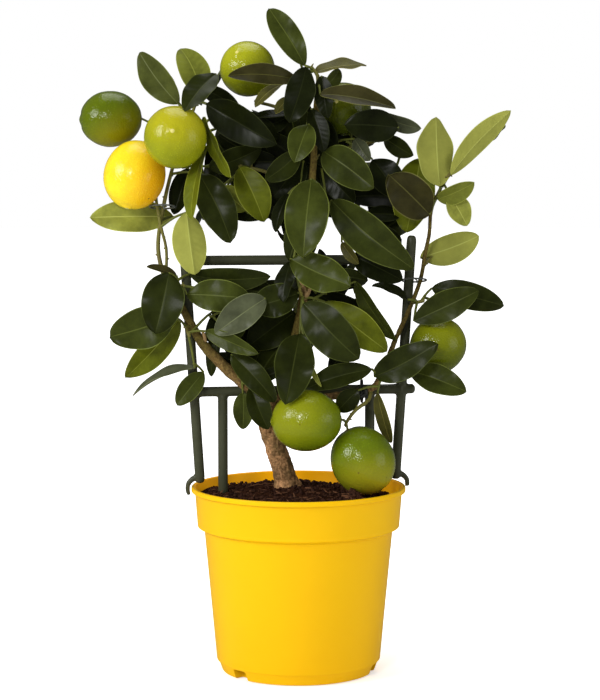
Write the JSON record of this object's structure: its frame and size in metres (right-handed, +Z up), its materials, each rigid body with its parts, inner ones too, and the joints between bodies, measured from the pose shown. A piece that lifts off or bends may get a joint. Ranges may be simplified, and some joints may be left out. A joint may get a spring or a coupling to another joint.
{
  "type": "potted limequat tree",
  "caption": "Young citrus tree with oval fruit, trained on a ladder trellis that hooks over the rim of its round plastic pot.",
  "frame": {"origin": "centre of the flat underside of the pot", "axes": "+Z up along the pot's axis, +X to the viewer's right, -Y towards the viewer of the pictured front"},
  "size_m": [0.3414, 0.1795, 0.5226],
  "materials": {
    "pot": "warm yellow moulded plastic with a soft sheen",
    "soil": "dark crumbly potting soil",
    "bark": "tan-brown bark with fine furrows, greener on young wood",
    "trellis": "dark green moulded plastic",
    "wire": "thin coated wire",
    "tie": "soft black tie",
    "foliage": "leathery dark green leaves, paler below, with green and yellow dimpled fruit"
  },
  "bodies": {
    "root": {"pot": "pot", "soil": "soil", "trunk": "bark", "bough_left": "bark", "bough_right": "bark", "bough_right_upper": "bark", "post_left": "trellis", "post_right": "trellis", "bar_low": "trellis", "bar_middle": "trellis", "leg_left": "trellis", "leg_right": "trellis", "ring_left": "wire", "ring_right": "wire", "soft_tie": "tie", "foliage_fruit_spray": "foliage", "foliage_left_crown": "foliage", "foliage_centre_front": "foliage", "foliage_top": "foliage", "foliage_upper_left": "foliage", "foliage_upper_right": "foliage", "foliage_middle_left": "foliage", "foliage_middle_right": "foliage", "foliage_right_crown": "foliage", "foliage_right_side": "foliage", "foliage_right_middle": "foliage", "foliage_right_low": "foliage", "foliage_left_side": "foliage", "foliage_left_low": "foliage", "foliage_low_middle": "foliage", "foliage_back_high": "foliage", "foliage_back_low": "foliage"}
  },
  "joints": []
}
